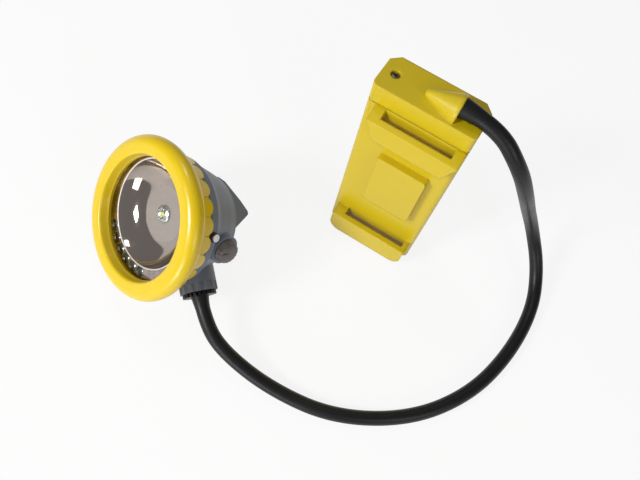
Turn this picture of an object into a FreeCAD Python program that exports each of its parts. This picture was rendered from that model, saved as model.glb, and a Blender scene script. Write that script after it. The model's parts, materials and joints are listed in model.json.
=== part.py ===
import FreeCAD, Part
import math
import os
from types import SimpleNamespace

import Sketcher

# Cap lamp: a round lamp head joined by a short cord to a slim battery pack.
#
# The head is drawn in its own frame. Its front plane is at height 0, the light leaves along +Z,
# the cable gland points along -Y and bearings run anticlockwise from +X as seen from the front.
# The pack is drawn standing on its base, with its belt loops towards -Y.
# The pack stands on its base and the head lies back on the tip of its helmet hook.

doc = FreeCAD.newDocument("cap_lamp")
V = FreeCAD.Vector

# Sizes, in mm and degrees.

SIZES = {
    # bezel
    "bezel_radius": 38.0,
    "bezel_crown": 33.15,
    "bezel_belly": 4.5,
    "sleeve_wall": 1.8,
    "lobe_height": 1.8,
    "waist_rise": 1.6,
    "bezel_depth": 16.5,
    "lip_depth": 5.0,
    "lip_hold": 0.5,
    "lobe_count": 24,
    "lobe_radius": 3.9,
    "notch_rise": 4.5,
    # lens, reflector, gasket
    "disc_radius": 28.8,
    "disc_slack": 0.2,
    "lens_front": 5.2,
    "lens_thick": 1.4,
    "plate_thick": 1.2,
    "bowl_margin": 0.6,
    "bowl_floor": 12.6,
    "bowl_wall": 0.8,
    "bowl_shift": 3.0,
    "bowl_bearing": 27.0,
    "gasket_front": 10.5,
    "gasket_wide": 2.0,
    "gasket_thick": 1.0,
    # housing
    "bore_step": 0.2,
    "flange_rise": 1.9,
    "bezel_gap": 0.5,
    "flange_thick": 4.5,
    "housing_back": 41.0,
    "back_radius": 22.9,
    "back_wall": 2.2,
    "ledge_depth": 16.5,
    "ledge_step": 1.8,
    "bayonet_turn": 25.0,
    "lug_angle": 10.0,
    "lug_back": 15.4,
    "lug_thick": 1.9,
    "lug_count": 3,
    # light engine
    "board_front": 14.0,
    "board_thick": 1.0,
    "board_radius": 13.2,
    "dome_radius": 3.2,
    "small_count": 6,
    "small_radius": 2.5,
    "small_margin": 3.4,
    "small_first": 171.0,
    "small_step": 13.6,
    "small_front": 6.9,
    "spacer_radius": 2.5,
    "spacer_length": 6.0,
    "spacer_pitch": 18.0,
    "driver_radius": 20.0,
    "driver_thick": 1.6,
    # switch, charging post, gland
    "knob_bearing": -46.0,
    "switch_half": 5.2,
    "switch_gap": 0.7,
    "knob_radius": 6.5,
    "knob_seat": 29.6,
    "switch_seat": 21.5,
    "knob_height": 5.2,
    "shaft_radius": 2.0,
    "post_bearing": -32.0,
    "post_inset": 2.2,
    "post_head": 1.8,
    "gland_depth": 28.0,
    "gland_radius": 9.0,
    "gland_foot": 20.5,
    "gland_seat": 30.9,
    "nut_length": 5.6,
    "ring_length": 2.0,
    # hook
    "hook_width": 30.0,
    "slot_width": 22.0,
    "slot_gap": 5.0,
    # pack
    "pack_width": 48.0,
    "pack_thick": 20.0,
    "pack_height": 109.4,
    "pack_wall": 2.0,
    "corner_radius": 2.5,
    "lid_height": 9.4,
    "seal_thick": 0.8,
    "loop_clear": 4.6,
    "loop_reach": 7.6,
    "pad_height": 4.0,
    "post_length": 14.2,
    "screw_head": 1.7,
    "recess_radius": 2.25,
    "boss_end": 36.5,
    "boss_axis": 1.8,
    "boss_radius": 6.8,
    "boss_line": 8.0,
    "cell_width": 40.0,
    "cell_thick": 13.0,
    "cell_height": 40.0,
    # cord
    "cord_radius": 3.5,
    "cord_rise": 4.0,
    "running": 0.3,
    "close": 0.1,
}

sheet = doc.addObject("Spreadsheet::Sheet", "Sizes")
for row, (alias, number) in enumerate(SIZES.items(), start=1):
    sheet.set(f"A{row}", alias)
    sheet.set(f"B{row}", str(number))
    sheet.setAlias(f"B{row}", alias)
doc.recompute()


class Size:
    """A dimension of the sheet, or a sum or multiple of dimensions, kept as a number and as words."""

    def __init__(self, value, text):
        self.value = float(value)
        self.text = text

    def __add__(self, other):
        other = as_size(other)
        return Size(self.value + other.value, f"({self.text} + {other.text})")

    def __sub__(self, other):
        other = as_size(other)
        return Size(self.value - other.value, f"({self.text} - {other.text})")

    def __mul__(self, other):
        other = as_size(other)
        return Size(self.value * other.value, f"({self.text} * {other.text})")

    def __radd__(self, other):
        return as_size(other) + self

    def __rsub__(self, other):
        return as_size(other) - self

    def __rmul__(self, other):
        return self * other

    def __neg__(self):
        return Size(-self.value, f"(0 - {self.text})")


def as_size(thing):
    if isinstance(thing, Size):
        return thing
    return Size(thing, f"({thing})")


d = SimpleNamespace(**{name: Size(number, f"Sizes.{name}") for name, number in SIZES.items()})

# Sizes that follow from the ones above, from the window outwards and then from front to back.
d.bezel_mouth = d.disc_radius - d.lip_hold
d.bezel_bore = d.disc_radius + d.disc_slack
d.lobe_root = d.bezel_bore + d.sleeve_wall
d.bezel_skirt = d.lobe_root + d.lobe_height
d.bezel_waist = d.bezel_skirt + d.waist_rise
d.bowl_mouth = d.disc_radius - d.bowl_shift - d.bowl_margin
d.small_pitch = d.disc_radius - d.small_margin
d.gasket_inner = d.disc_radius - d.gasket_wide
d.neck_radius = d.bezel_bore - d.running
d.neck_bore = d.gasket_inner - d.bore_step
d.sink_radius = d.neck_bore - d.running
d.ledge_bore = d.neck_bore - d.ledge_step
d.flange_radius = d.neck_radius + d.flange_rise
d.flange_front = d.bezel_depth + d.bezel_gap
d.flange_back = d.flange_front + d.flange_thick
d.post_depth = d.flange_front + d.post_inset
d.knob_depth = d.ledge_depth + d.spacer_length + d.driver_thick + d.switch_gap + d.switch_half

pieces = []
head_pieces = []
pack_pieces = []


def bind(thing, **properties):
    """Tie properties of an object to sizes."""
    for name, size in properties.items():
        size = as_size(size)
        setattr(thing, name, size.value)
        thing.setExpression(name, size.text)


# Helpers that draw sketches and make features.

def body(label, group):
    """An empty sub-part of the head or of the pack."""
    made = doc.addObject("PartDesign::Body", label)
    made.Label = label
    pieces.append(made)
    group.append(made)
    return made


def plane_sketch(owner, name, role, offset=0.0):
    """A sketch on one of the sub-part's own planes, moved along the plane's normal."""
    sketch = owner.newObject("Sketcher::SketchObject", name)
    plane = [feature for feature in owner.Origin.OriginFeatures if feature.Role == role][0]
    sketch.AttachmentSupport = [(plane, "")]
    sketch.MapMode = "FlatFace"
    offset = as_size(offset)
    sketch.AttachmentOffset = FreeCAD.Placement(V(0, 0, offset.value), FreeCAD.Rotation())
    sketch.setExpression("AttachmentOffset.Base.z", offset.text)
    return sketch


def radial_sketch(owner, name, bearing, reach, depth=0.0):
    """A sketch square to the radius at a bearing, reach and depth, its y towards the front."""
    sketch = plane_sketch(owner, name, "XZ_Plane")
    sketch.setExpression("AttachmentOffset.Base.z", None)
    spin = FreeCAD.Rotation(V(0, 1, 0), as_size(bearing).value + 90)
    base = spin.multVec(V(0, 0, as_size(reach).value)) - V(0, as_size(depth).value, 0)
    sketch.AttachmentOffset = FreeCAD.Placement(base, spin)
    return sketch


def section_sketch(owner, name, centre=V(0, 0, 0), bearing=0.0):
    """A sketch through an axis parallel to the lamp's, its x the radius and its y the height."""
    sketch = plane_sketch(owner, name, "XZ_Plane")
    sketch.setExpression("AttachmentOffset.Base.z", None)
    spin = FreeCAD.Rotation(V(0, 1, 0), as_size(bearing).value)
    sketch.AttachmentOffset = FreeCAD.Placement(V(centre.x, 0, -centre.y), spin)
    return sketch


def hold(sketch, geometry, point, x, y):
    """Fix one point of a sketch at two sizes from its origin."""
    for kind, size in (("DistanceX", as_size(x)), ("DistanceY", as_size(y))):
        index = sketch.addConstraint(Sketcher.Constraint(kind, -1, 1, geometry, point, size.value))
        sketch.setExpression(f"Constraints[{index}]", size.text)


def outline(sketch, corners):
    """Close a profile through corners given as (x, y) or (x, y, bend).

    A bend is the radius of the arc from its corner to the next one: positive where the way round
    turns left along the arc, negative where it turns right.
    """
    points = [V(as_size(corner[0]).value, as_size(corner[1]).value, 0) for corner in corners]
    ends = []
    for i, corner in enumerate(corners):
        start = points[i]
        end = points[(i + 1) % len(points)]
        if len(corner) == 2:
            index = sketch.addGeometry(Part.LineSegment(start, end), False)
            ends.append((index, 1, 2))
            continue
        bend = as_size(corner[2])
        radius = abs(bend.value)
        chord = end - start
        rise = radius - math.sqrt(max(radius ** 2 - chord.Length ** 2 / 4, 0))
        right = V(chord.y, -chord.x, 0).normalize()
        middle = (start + end) * 0.5 + right * math.copysign(rise, bend.value)
        if bend.value > 0:
            index = sketch.addGeometry(Part.Arc(start, middle, end), False)
            ends.append((index, 1, 2))
        else:
            index = sketch.addGeometry(Part.Arc(end, middle, start), False)
            ends.append((index, 2, 1))
    for i, (index, first, last) in enumerate(ends):
        following = ends[(i + 1) % len(ends)]
        sketch.addConstraint(Sketcher.Constraint("Coincident", index, last, following[0], following[1]))
    for (index, first, last), corner in zip(ends, corners):
        hold(sketch, index, first, corner[0], corner[1])
        if len(corner) == 3:
            bend = as_size(corner[2])
            size = bend if bend.value > 0 else -bend
            number = sketch.addConstraint(Sketcher.Constraint("Radius", index, size.value))
            sketch.setExpression(f"Constraints[{number}]", size.text)
    return sketch


def circle(sketch, x, y, radius):
    """Add a circle at two sizes from the sketch's origin."""
    radius = as_size(radius)
    centre = V(as_size(x).value, as_size(y).value, 0)
    index = sketch.addGeometry(Part.Circle(centre, V(0, 0, 1), radius.value), False)
    hold(sketch, index, 3, x, y)
    number = sketch.addConstraint(Sketcher.Constraint("Radius", index, radius.value))
    sketch.setExpression(f"Constraints[{number}]", radius.text)
    return sketch


def box_outline(sketch, low_x, low_y, high_x, high_y):
    return outline(sketch, [(low_x, low_y), (high_x, low_y), (high_x, high_y), (low_x, high_y)])


def round_box(sketch, low_x, low_y, high_x, high_y, radius):
    """A rectangle with rounded corners."""
    return outline(sketch, [
        (low_x + radius, low_y), (high_x - radius, low_y, radius),
        (high_x, low_y + radius), (high_x, high_y - radius, radius),
        (high_x - radius, high_y), (low_x + radius, high_y, radius),
        (low_x, high_y - radius), (low_x, low_y + radius, radius),
    ])


def feature(owner, kind, name, sketch, flip=False, axis="V_Axis", **sizes):
    """A feature on a sketch, with its sizes tied to the sheet. A cut must remove something."""
    before = owner.Shape.Volume if owner.Tip else 0.0
    made = owner.newObject(f"PartDesign::{kind}", name)
    made.Profile = sketch
    made.Reversed = flip
    made.Refine = True
    if kind in ("Revolution", "Groove"):
        made.ReferenceAxis = (sketch, [axis])
    bind(made, **sizes)
    doc.recompute()
    change = owner.Shape.Volume - before
    if kind in ("Pocket", "Groove"):
        assert change < -1e-3, f"{owner.Label}: {name} cuts nothing"
    else:
        assert change > 1e-3, f"{owner.Label}: {name} adds nothing"
    return made


def ring_of(owner, name, original, axis, count):
    """Repeat a feature evenly round an axis."""
    before = owner.Shape.Volume
    pattern = owner.newObject("PartDesign::PolarPattern", name)
    pattern.Originals = [original]
    pattern.Axis = axis
    pattern.Angle = 360
    pattern.Occurrences = int(as_size(count).value)
    owner.Tip = pattern
    doc.recompute()
    assert abs(owner.Shape.Volume - before) > 1e-3, f"{owner.Label}: {name} repeats nothing"
    return pattern


def turned(label, group, corners):
    """A sub-part turned about the Z axis, its corners given as radius and height."""
    made = body(label, group)
    profile = outline(plane_sketch(made, label + "_profile", "XZ_Plane"), corners)
    feature(made, "Revolution", label + "_turn", profile, Angle=360)
    return made


def cylinder(name, radius, height, base, direction=V(0, 0, 1)):
    """A plain round bar from a base point along a direction."""
    bar = doc.addObject("Part::Cylinder", name)
    bind(bar, Radius=radius, Height=height)
    bar.Placement = FreeCAD.Placement(base, FreeCAD.Rotation(V(0, 0, 1), direction))
    return bar


def block(name, width, depth, height, base):
    """A plain box from its low corner."""
    made = doc.addObject("Part::Box", name)
    bind(made, Length=width, Width=depth, Height=height)
    made.Placement = FreeCAD.Placement(base, FreeCAD.Rotation())
    return made


def fuse(name, parts):
    made = doc.addObject("Part::MultiFuse", name)
    made.Shapes = parts
    return made


def sub_part(label, group, made):
    """Name a finished object as a sub-part."""
    made.Label = label
    pieces.append(made)
    group.append(made)
    return made


def set_of(label, group, parts):
    """Several alike solids as one sub-part."""
    made = doc.addObject("Part::Compound", label)
    made.Links = parts
    return sub_part(label, group, made)


def polar(radius, bearing, depth=0.0):
    """A point of the head at a radius, a bearing in degrees and a depth behind the front plane."""
    angle = math.radians(as_size(bearing).value)
    reach = as_size(radius).value
    return V(reach * math.cos(angle), reach * math.sin(angle), -as_size(depth).value)


# Head: bezel.

def make_bezel():
    """Fat moulded ring with a scalloped skirt, held by three bayonet lugs in its bore."""
    bezel = body("bezel_ring", head_pieces)
    section = outline(plane_sketch(bezel, "bezel_section", "XZ_Plane"), [
        (d.bezel_bore, -d.lip_depth),
        (d.bezel_bore, -d.bezel_depth),
        (d.bezel_skirt, -d.bezel_depth),
        (d.bezel_skirt + 0.9, -10.0),
        (d.bezel_waist, -9.2, 4.8),
        (d.bezel_radius, -d.bezel_belly, 4.7),
        (d.bezel_crown, 0.0, 4.7),
        (d.bezel_mouth, -d.bezel_belly),
        (d.bezel_mouth, -d.lip_depth),
    ])
    feature(bezel, "Revolution", "bezel_turn", section, Angle=360)

    # Between two lobes the skirt is cut away as a narrow slot that opens into two round shoulders.
    half_pitch = 4.12
    slot = half_pitch - d.lobe_radius
    shoulder = d.lobe_radius - d.bezel_depth
    notch = outline(plane_sketch(bezel, "notch_profile", "XZ_Plane", -d.lobe_root), [
        (-slot, d.notch_rise - d.bezel_depth),
        (-slot, shoulder, -d.lobe_radius),
        (-half_pitch, -d.bezel_depth),
        (-half_pitch, -d.bezel_depth - 1),
        (half_pitch, -d.bezel_depth - 1),
        (half_pitch, -d.bezel_depth, -d.lobe_radius),
        (slot, shoulder),
        (slot, d.notch_rise - d.bezel_depth),
    ])
    first_notch = feature(bezel, "Pocket", "notch", notch, Length=8.0)
    ring_of(bezel, "notches", first_notch, (section, ["V_Axis"]), d.lobe_count)

    lug = box_outline(section_sketch(bezel, "lug_profile"),
                      d.bezel_bore - 1.2, -d.lug_back, d.bezel_bore + 0.4, d.lug_thick - d.lug_back)
    first_lug = feature(bezel, "Revolution", "lug", lug, Angle=d.lug_angle)
    ring_of(bezel, "lugs", first_lug, (section, ["V_Axis"]), d.lug_count)
    return bezel


# Head: window, mirror and small lights.

def make_optics():
    """Window, mirror with its off-centre bowl, and the gasket behind them."""
    lens_back = d.lens_front + d.lens_thick
    turned("lens", head_pieces, [
        (0, -d.lens_front), (0, -lens_back), (d.disc_radius, -lens_back),
        (d.disc_radius, -d.lens_front - 0.3), (d.disc_radius - 0.3, -d.lens_front),
    ])
    turned("lens_gasket", head_pieces, [
        (d.gasket_inner, -d.gasket_front), (d.gasket_inner, -d.gasket_front - d.gasket_thick),
        (d.disc_radius, -d.gasket_front - d.gasket_thick), (d.disc_radius, -d.gasket_front),
    ])

    reflector = body("reflector", head_pieces)
    plate_back = lens_back + d.plate_thick
    rim = outline(plane_sketch(reflector, "reflector_rim", "XZ_Plane"), [
        (0, -lens_back), (0, -plate_back), (d.gasket_inner, -plate_back),
        (d.gasket_inner, -d.gasket_front), (d.disc_radius, -d.gasket_front),
        (d.disc_radius, -lens_back),
    ])
    feature(reflector, "Revolution", "rim_turn", rim, Angle=360)

    # The bowl's axis stands off the lamp's axis, which leaves a crescent for the small lights.
    centre = polar(d.bowl_shift, d.bowl_bearing)
    bowl_outer = [
        (0, -plate_back + 0.4), (0, -d.board_front), (d.bowl_floor + d.bowl_wall, -d.board_front, 12.0),
        (d.bowl_mouth - 0.1, -plate_back), (d.bowl_mouth - 0.1, -plate_back + 0.4),
    ]
    bowl_inner = [
        (0, -lens_back + 0.2), (0, -d.board_front - 0.2), (d.bowl_floor, -d.board_front - 0.2),
        (d.bowl_floor, -d.board_front, 14.0), (d.bowl_mouth, -lens_back),
        (d.bowl_mouth, -lens_back + 0.2),
    ]
    for kind, name, corners in (("Revolution", "bowl_outer", bowl_outer), ("Groove", "bowl_inner", bowl_inner)):
        sketch = outline(section_sketch(reflector, name + "_profile", centre), corners)
        feature(reflector, kind, name, sketch, Angle=360)

    holes = plane_sketch(reflector, "light_holes", "XY_Plane")
    for place in small_light_places():
        circle(holes, place.x, place.y, d.small_radius + 0.2)
    feature(reflector, "Pocket", "light_hole_cut", holes, Length=10.4)

    first = d.small_first - 9
    last = d.small_first + d.small_step * (d.small_count - 1) + 9
    crescent = crescent_sketch(reflector, "board_room", d.gasket_inner - 0.3, d.disc_radius + 1,
                               first, last, d.gasket_front - 1.2)
    feature(reflector, "Pocket", "board_room_cut", crescent, Length=1.4)


def small_light_places():
    """Where the small lights stand, as points of the front plane."""
    count = int(d.small_count.value)
    return [polar(d.small_pitch, d.small_first + d.small_step * i) for i in range(count)]


def crescent_sketch(owner, name, inner, outer, first, last, depth):
    """A piece of a ring between two bearings, drawn square to the axis at a depth."""
    inner_start, outer_start = polar(inner, first), polar(outer, first)
    outer_end, inner_end = polar(outer, last), polar(inner, last)
    return outline(plane_sketch(owner, name, "XY_Plane", -depth), [
        (inner_start.x, inner_start.y), (outer_start.x, outer_start.y, outer),
        (outer_end.x, outer_end.y), (inner_end.x, inner_end.y, -inner),
    ])


def make_small_lights():
    """The crescent board behind the mirror and its row of short clear lights."""
    board_front = d.small_front + d.small_radius + 0.2
    board = body("aux_led_board", head_pieces)
    first = d.small_first - 8
    last = d.small_first + d.small_step * (d.small_count - 1) + 8
    sketch = crescent_sketch(board, "crescent", d.small_pitch - 2.7, d.disc_radius - 0.4, first, last, board_front)
    feature(board, "Pad", "crescent_pad", sketch, flip=True, Length=0.7)

    lights = []
    for i, place in enumerate(small_light_places()):
        dome = doc.addObject("Part::Sphere", f"small_dome_{i}")
        bind(dome, Radius=d.small_radius)
        dome.Angle1 = 0
        dome.Placement.Base = place - V(0, 0, (d.small_front + d.small_radius).value)
        foot = cylinder(f"small_foot_{i}", d.small_radius, 0.2, place - V(0, 0, board_front.value))
        lights.append(fuse(f"small_light_{i}", [dome, foot]))
    set_of("aux_leds", head_pieces, lights)


# Head: housing.

def make_housing():
    """Moulded shell: a neck with bayonet tracks, a flange, and a cone with bosses for switch and gland."""
    housing = body("head_housing", head_pieces)
    neck_front = d.gasket_front + d.gasket_thick
    inner_back = d.housing_back - d.back_wall
    section = outline(section_sketch(housing, "housing_section"), [
        (0, -d.housing_back),
        (d.back_radius - 1.5, -d.housing_back, 1.5),
        (d.back_radius, -d.housing_back + 1.5),
        (24.8, -35.0),
        (26.6, -30.0),
        (28.4, -25.0),
        (d.flange_radius - 0.5, -d.flange_back - 0.3),
        (d.flange_radius, -d.flange_back + 0.3),
        (d.flange_radius, -d.flange_front - 0.5),
        (d.flange_radius - 0.5, -d.flange_front),
        (d.neck_radius, -d.flange_front),
        (d.neck_radius, -neck_front),
        (d.neck_bore, -neck_front),
        (d.neck_bore, -d.ledge_depth),
        (d.ledge_bore, -d.ledge_depth),
        (d.ledge_bore, -22.5),
        (24.2, -30.0),
        (d.back_radius - 2.2, -inner_back),
        (0, -inner_back),
    ])
    feature(housing, "Revolution", "housing_turn", section, Angle=360)

    gland_boss = circle(radial_sketch(housing, "gland_boss", -90, d.gland_foot, d.gland_depth), 0, 0, d.gland_radius)
    feature(housing, "Pad", "gland_boss_pad", gland_boss, Length=d.gland_seat - d.gland_foot)
    wire_hole = circle(radial_sketch(housing, "wire_hole", -90, d.gland_seat, d.gland_depth), 0, 0, 2.9)
    feature(housing, "Pocket", "wire_hole_cut", wire_hole, Length=10)

    knob_face = d.knob_seat - d.running
    boss = circle(radial_sketch(housing, "knob_boss", d.knob_bearing, d.switch_seat, d.knob_depth),
                  0, 0, d.knob_radius + 0.7)
    feature(housing, "Pad", "knob_boss_pad", boss, Length=knob_face - d.switch_seat)
    for name, radius, length in (("seal_recess", 4.2, 1.4), ("shaft_hole", d.shaft_radius + d.close, 11)):
        sketch = circle(radial_sketch(housing, name, d.knob_bearing, knob_face, d.knob_depth), 0, 0, radius)
        feature(housing, "Pocket", name + "_cut", sketch, Length=length)

    # Each lug runs in a closed track and leaves it through a gate at the end of the turn.
    track_floor = d.bezel_bore - 1.2 - d.running
    track = box_outline(section_sketch(housing, "track_profile", bearing=-1.0), track_floor,
                        -d.lug_back - d.running, d.neck_radius + 1, d.lug_thick - d.lug_back + d.running)
    first_track = feature(housing, "Groove", "track", track, Angle=d.bayonet_turn + d.lug_angle + 2)
    ring_of(housing, "tracks", first_track, (section, ["V_Axis"]), d.lug_count)
    gate = box_outline(section_sketch(housing, "gate_profile", bearing=d.bayonet_turn - 1.0), track_floor,
                       d.lug_thick - d.lug_back, d.neck_radius + 1, -neck_front + 1)
    first_gate = feature(housing, "Groove", "gate", gate, Angle=d.lug_angle + 2)
    ring_of(housing, "gates", first_gate, (section, ["V_Axis"]), d.lug_count)

    post_hole = circle(radial_sketch(housing, "post_hole", d.post_bearing, d.flange_radius + 1.4, d.post_depth), 0, 0, 1.6)
    feature(housing, "Pocket", "post_hole_cut", post_hole, Length=9)

    for side in (-1, 1):
        hole = circle(plane_sketch(housing, "hook_hole", "XY_Plane", 11.0 - d.housing_back), side * 9.0, 9.0, 1.4)
        feature(housing, "Pocket", "hook_hole_cut", hole, Length=12)


# Head: main light and boards.

def make_engine():
    """Main light, its board, the plate that takes its heat, and the driver board on three spacers."""
    centre = polar(d.bowl_shift, d.bowl_bearing)
    board = body("main_led_board", head_pieces)
    disc = circle(plane_sketch(board, "board_disc", "XY_Plane", -d.board_front), centre.x, centre.y, d.board_radius)
    feature(board, "Pad", "board_pad", disc, flip=True, Length=d.board_thick)

    light = body("main_led", head_pieces)
    base = d.board_front - 0.8
    sketch = outline(section_sketch(light, "light_profile", centre), [
        (0, -d.board_front), (d.dome_radius + 0.8, -d.board_front), (d.dome_radius + 0.8, -base),
        (d.dome_radius, -base, d.dome_radius), (0, d.dome_radius - base),
    ])
    feature(light, "Revolution", "light_turn", sketch, Angle=360)

    plate_front = d.board_front + d.board_thick
    plate = body("mounting_plate", head_pieces)
    disc = circle(plane_sketch(plate, "plate_disc", "XY_Plane", -d.ledge_depth), 0, 0, d.sink_radius)
    feature(plate, "Pad", "plate_pad", disc, Length=d.ledge_depth - plate_front)
    holes = circle(plane_sketch(plate, "wire_holes", "XY_Plane"), 0, -20.5, 1.8)
    feature(plate, "Pocket", "wire_hole_cut", holes, Length=20)

    spacers = []
    for i in range(3):
        base = polar(d.spacer_pitch, 90 + 120 * i, d.ledge_depth + d.spacer_length)
        spacers.append(cylinder(f"spacer_{i}", d.spacer_radius, d.spacer_length, base))
    set_of("board_spacers", head_pieces, spacers)

    driver = body("driver_board", head_pieces)
    disc = circle(plane_sketch(driver, "driver_disc", "XY_Plane", -d.ledge_depth - d.spacer_length), 0, 0,
                  d.driver_radius)
    feature(driver, "Pad", "driver_pad", disc, flip=True, Length=d.driver_thick)


# Head: switch, charging post and gland.

def make_switch():
    """Fluted knob with its shaft, the seal round the shaft and the switch it turns."""
    knob = body("switch_knob", head_pieces)
    disc = circle(radial_sketch(knob, "knob_disc", d.knob_bearing, d.knob_seat, d.knob_depth), 0, 0, d.knob_radius)
    feature(knob, "Pad", "knob_pad", disc, Length=d.knob_height)
    top = d.knob_seat + d.knob_height
    flute = circle(radial_sketch(knob, "flute", d.knob_bearing, top, d.knob_depth), d.knob_radius + 0.6, 0, 1.2)
    first_flute = feature(knob, "Pocket", "flute_cut", flute, Length=d.knob_height - 1.4)
    ring_of(knob, "flutes", first_flute, (flute, ["N_Axis"]), 12)
    pointer = box_outline(radial_sketch(knob, "pointer", d.knob_bearing, top, d.knob_depth), -0.5, 1.0, 0.5, 5.2)
    feature(knob, "Pocket", "pointer_cut", pointer, Length=0.5)
    shaft = circle(radial_sketch(knob, "shaft", d.knob_bearing, d.switch_seat - 1.0, d.knob_depth),
                   0, 0, d.shaft_radius)
    feature(knob, "Pad", "shaft_pad", shaft, Length=d.knob_seat - d.switch_seat + 1.5)

    seal = body("knob_seal", head_pieces)
    recess = d.knob_seat - d.running - 1.4
    ring = radial_sketch(seal, "seal_ring", d.knob_bearing, recess, d.knob_depth)
    circle(ring, 0, 0, 4.1)
    circle(ring, 0, 0, d.shaft_radius + d.close)
    feature(seal, "Pad", "seal_pad", ring, Length=1.3)

    switch = body("switch_body", head_pieces)
    case = box_outline(radial_sketch(switch, "switch_case", d.knob_bearing, d.switch_seat - 8.0, d.knob_depth),
                       -d.switch_half, -d.switch_half, d.switch_half, d.switch_half)
    feature(switch, "Pad", "switch_pad", case, Length=8.0)
    socket = circle(radial_sketch(switch, "socket", d.knob_bearing, d.switch_seat, d.knob_depth),
                    0, 0, d.shaft_radius + d.close)
    feature(switch, "Pocket", "socket_cut", socket, Length=1.4)


def make_post():
    """Metal charging post and the bush that keeps it off the shell."""
    post = body("charging_post", head_pieces)
    collar = d.flange_radius + 0.02
    shank = circle(radial_sketch(post, "shank", d.post_bearing, 24.0, d.post_depth), 0, 0, 1.1)
    feature(post, "Pad", "shank_pad", shank, Length=collar + 0.5 - 24.0)
    head = circle(radial_sketch(post, "head", d.post_bearing, collar + 0.5, d.post_depth), 0, 0, d.post_head)
    feature(post, "Pad", "head_pad", head, Length=1.5)

    bush = body("post_bush", head_pieces)
    tube = radial_sketch(bush, "tube", d.post_bearing, 24.9, d.post_depth)
    circle(tube, 0, 0, 1.6)
    circle(tube, 0, 0, 1.1)
    feature(bush, "Pad", "tube_pad", tube, Length=collar - 24.9)
    rim = radial_sketch(bush, "rim", d.post_bearing, collar, d.post_depth)
    circle(rim, 0, 0, 2.4)
    circle(rim, 0, 0, 1.1)
    feature(bush, "Pad", "rim_pad", rim, Length=0.5)


def make_gland():
    """Fluted nut and a serrated end ring, both round the cord."""
    nut = body("gland_nut", head_pieces)
    disc = circle(radial_sketch(nut, "nut_disc", -90, d.gland_seat, d.gland_depth), 0, 0, d.gland_radius)
    feature(nut, "Pad", "nut_pad", disc, Length=d.nut_length)
    flute = circle(radial_sketch(nut, "nut_flute", -90, d.gland_seat + d.nut_length, d.gland_depth),
                   d.gland_radius + 0.9, 0, 1.7)
    first_flute = feature(nut, "Pocket", "nut_flute_cut", flute, Length=d.nut_length - 1.5)
    ring_of(nut, "nut_flutes", first_flute, (flute, ["N_Axis"]), 14)
    bore = circle(radial_sketch(nut, "nut_bore", -90, d.gland_seat + d.nut_length, d.gland_depth), 0, 0, 2.9)
    feature(nut, "Pocket", "nut_bore_cut", bore, Length=10)

    ring = body("gland_ring", head_pieces)
    base = d.gland_seat + d.nut_length
    disc = radial_sketch(ring, "ring_disc", -90, base, d.gland_depth)
    circle(disc, 0, 0, d.gland_radius - 1.0)
    circle(disc, 0, 0, d.cord_radius + d.close)
    feature(ring, "Pad", "ring_pad", disc, Length=d.ring_length)
    tooth = outline(radial_sketch(ring, "tooth", -90, base + d.ring_length, d.gland_depth), [
        (d.gland_radius - 2.0, 0), (d.gland_radius, -1.0), (d.gland_radius, 1.0),
    ])
    first_tooth = feature(ring, "Pocket", "tooth_cut", tooth, Length=d.ring_length + 1)
    ring_of(ring, "teeth", first_tooth, (tooth, ["N_Axis"]), 22)


# Head: hook.

def make_hook():
    """Wedge that slips over a helmet's lamp bracket, with the bracket's slot open below."""
    hook = body("helmet_hook", head_pieces)
    wedge = outline(plane_sketch(hook, "wedge", "YZ_Plane", d.hook_width * -0.5), [
        (17.2, -d.housing_back), (15.0, -45.0), (5.5, -53.0), (0.4, -56.4, -2.0), (-2.4, -55.8),
        (-6.1, -50.0), (-12.0, -d.housing_back),
    ])
    feature(hook, "Pad", "wedge_pad", wedge, Length=d.hook_width)
    slot_front = d.housing_back + 2.0
    slot = box_outline(plane_sketch(hook, "slot", "XZ_Plane", 15.0), d.slot_width * -0.5,
                       -slot_front - d.slot_gap, d.slot_width * 0.5, -slot_front)
    feature(hook, "Pocket", "slot_cut", slot, Length=18.0)
    screws = []
    for side in (-1, 1):
        hole = circle(plane_sketch(hook, "screw_hole", "XY_Plane", -d.housing_back), side * 9.0, 9.0, 1.4)
        feature(hook, "Pocket", "screw_hole_cut", hole, Length=6.5)
        inner = (d.housing_back - d.back_wall).value
        shank = cylinder(f"hook_shank_{side + 1}", 1.3, 8.2, V(side * 9.0, 9.0, -inner - 8.2))
        head = cylinder(f"hook_head_{side + 1}", 2.4, 1.6, V(side * 9.0, 9.0, -inner))
        screws.append(fuse(f"hook_screw_{side + 1}", [shank, head]))
    set_of("hook_screws", head_pieces, screws)


# Battery pack.

def pack_outline(sketch, inset=0.0):
    """Plan of the pack: rounded towards the wearer, cut across at the two far corners."""
    inset = as_size(inset)
    radius = d.corner_radius - inset
    wide, deep = d.pack_width, d.pack_thick
    far = 4.0 + inset * 0.6
    return outline(sketch, [
        (inset + radius, inset), (wide - inset - radius, inset, radius),
        (wide - inset, inset + radius), (wide - inset, deep - far),
        (wide - far, deep - inset), (far, deep - inset),
        (inset, deep - far), (inset, inset + radius, radius),
    ])


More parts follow.
